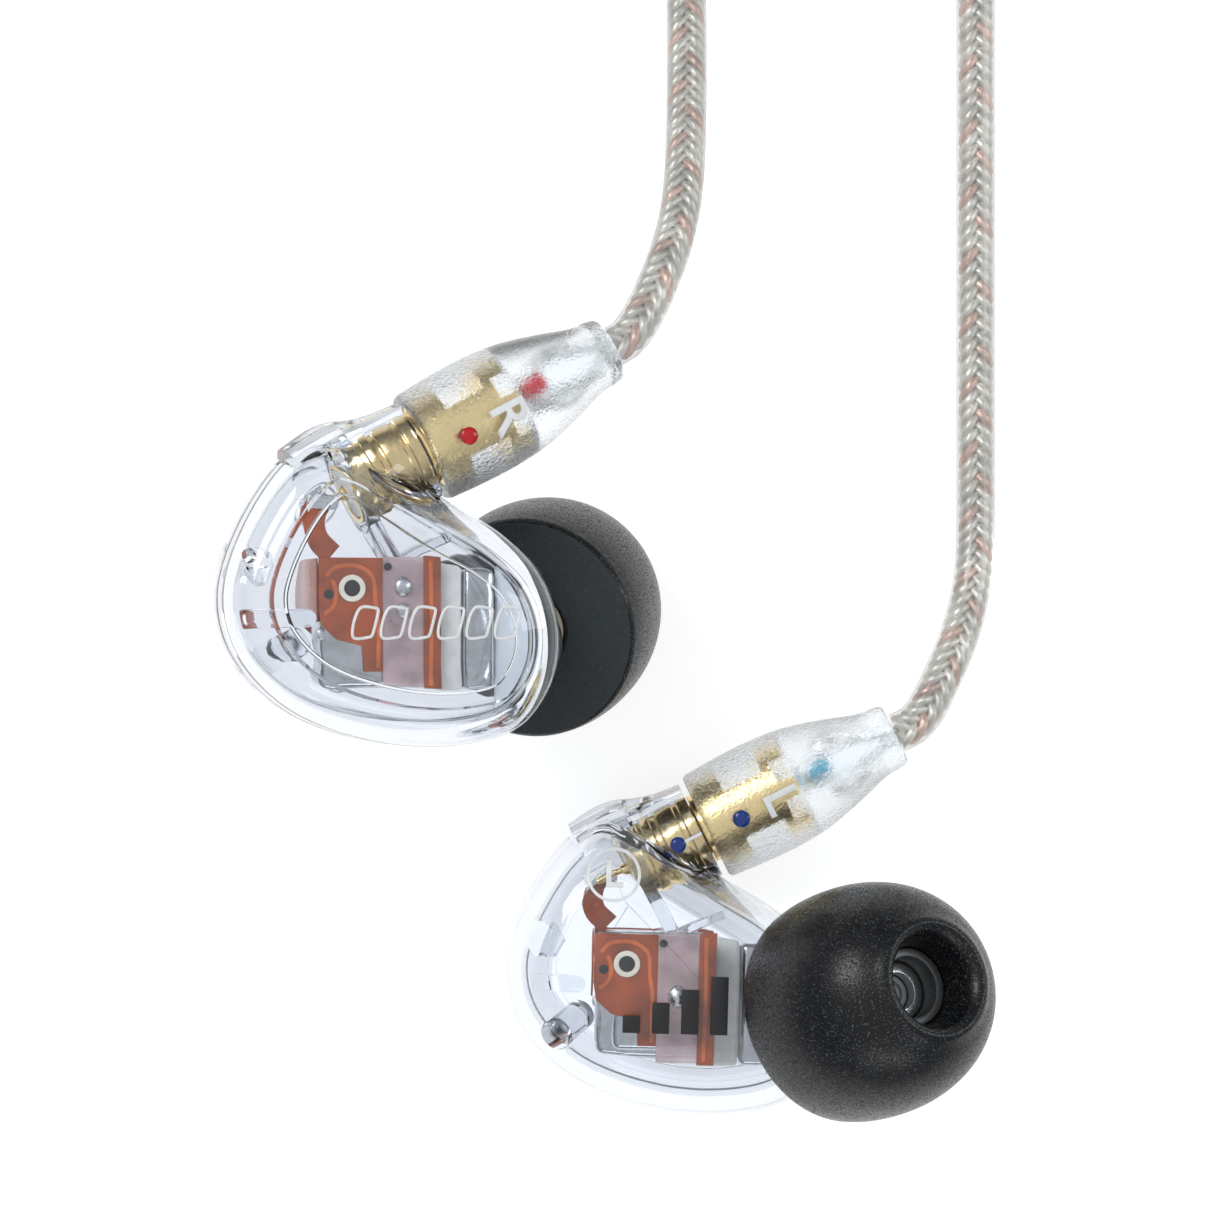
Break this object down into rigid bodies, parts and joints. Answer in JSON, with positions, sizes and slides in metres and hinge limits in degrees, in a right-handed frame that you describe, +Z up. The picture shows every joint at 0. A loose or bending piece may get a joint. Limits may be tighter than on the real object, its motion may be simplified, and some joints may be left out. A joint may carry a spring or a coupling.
{
  "type": "in-ear monitors",
  "caption": "Clear-shelled in-ear monitors with foam sleeves, push-fit coaxial connectors and a detachable twisted cable wound for storage.",
  "frame": {"origin": "on the surface the set lies on, under the middle of the two earpieces and their boots", "axes": "+Z up from the surface; +Y from the earpieces towards the wound cable; +X to the right seen from above"},
  "size_m": [0.0701, 0.1632, 0.0231],
  "materials": {
    "clear_shell": "clear polished",
    "frosted_boot": "clear, fine textured",
    "cable_jacket": "clear flexible, over braided wire",
    "gold": "gold plated",
    "silver": "nickel plated",
    "white_plastic": "plain",
    "flex_film": "orange circuit film",
    "foam": "fine closed-cell foam",
    "black_plastic": "plain"
  },
  "bodies": {
    "cable": {"right_boot": "frosted_boot", "right_plug_barrel": "gold", "right_plug_insulator": "white_plastic", "right_plug_pin": "gold", "right_lead": "cable_jacket", "right_lead_coil": "cable_jacket", "right_lead_tail": "cable_jacket", "left_boot": "frosted_boot", "left_plug_barrel": "gold", "left_plug_insulator": "white_plastic", "left_plug_pin": "gold", "left_lead": "cable_jacket", "left_lead_coil": "cable_jacket", "left_lead_tail": "cable_jacket", "y_split": "frosted_boot", "main_lead": "cable_jacket", "main_lead_coil": "cable_jacket", "main_lead_tail": "cable_jacket", "audio_plug_grip": "black_plastic", "audio_plug_sleeve": "gold", "audio_plug_ring": "gold", "audio_plug_tip": "gold", "audio_plug_core": "black_plastic", "right_coil_tie": "black_plastic", "left_coil_tie": "black_plastic", "main_coil_tie": "black_plastic"},
    "cable_slider": {"slider": "frosted_boot"},
    "right_snap_ring": {"right_snap_ring": "gold"},
    "right_earpiece": {"right_outer_shell": "clear_shell", "right_inner_shell": "clear_shell", "right_jack_barrel": "gold", "right_jack_insulator": "white_plastic", "right_jack_contact": "gold", "right_jack_cradle": "clear_shell", "right_flex_circuit": "flex_film", "right_woofer_a": "silver", "right_woofer_b": "silver", "right_tweeter": "silver", "right_acoustic_duct": "clear_shell", "right_nozzle": "silver", "right_damper": "white_plastic"},
    "right_sleeve": {"right_sleeve_core": "white_plastic", "right_foam_tip": "foam"},
    "left_snap_ring": {"left_snap_ring": "gold"},
    "left_earpiece": {"left_outer_shell": "clear_shell", "left_inner_shell": "clear_shell", "left_jack_barrel": "gold", "left_jack_insulator": "white_plastic", "left_jack_contact": "gold", "left_jack_cradle": "clear_shell", "left_flex_circuit": "flex_film", "left_woofer_a": "silver", "left_woofer_b": "silver", "left_tweeter": "silver", "left_acoustic_duct": "clear_shell", "left_nozzle": "silver", "left_damper": "white_plastic"},
    "left_sleeve": {"left_sleeve_core": "white_plastic", "left_foam_tip": "foam"}
  },
  "joints": [
    {"name": "right_swivel", "type": "hinge", "parent": "cable", "child": "right_snap_ring", "pos_m": [-0.00935, 0.01395, 0.0168], "axis": [0.8552, 0.4648, -0.2292], "continuous": true},
    {"name": "right_unplug", "type": "slide", "parent": "right_snap_ring", "child": "right_earpiece", "axis": [-0.8552, -0.4648, 0.2292], "range_m": [0, 0.004]},
    {"name": "right_sleeve_pull", "type": "slide", "parent": "right_earpiece", "child": "right_sleeve", "axis": [0.2883, 0.2479, -0.9249], "range_m": [0, 0.006]},
    {"name": "left_swivel", "type": "hinge", "parent": "cable", "child": "left_snap_ring", "pos_m": [0.00516, -0.00549, 0.0042], "axis": [0.8973, 0.4415, 0], "range_deg": [-80, 110]},
    {"name": "left_unplug", "type": "slide", "parent": "left_snap_ring", "child": "left_earpiece", "axis": [-0.8973, -0.4415, 0], "range_m": [0, 0.004]},
    {"name": "left_sleeve_pull", "type": "slide", "parent": "left_earpiece", "child": "left_sleeve", "axis": [0.5242, 0.2343, 0.8188], "range_m": [0, 0.006]},
    {"name": "slider_travel", "type": "slide", "parent": "cable", "child": "cable_slider", "axis": [0, 1, 0], "range_m": [0, 0.011]}
  ]
}
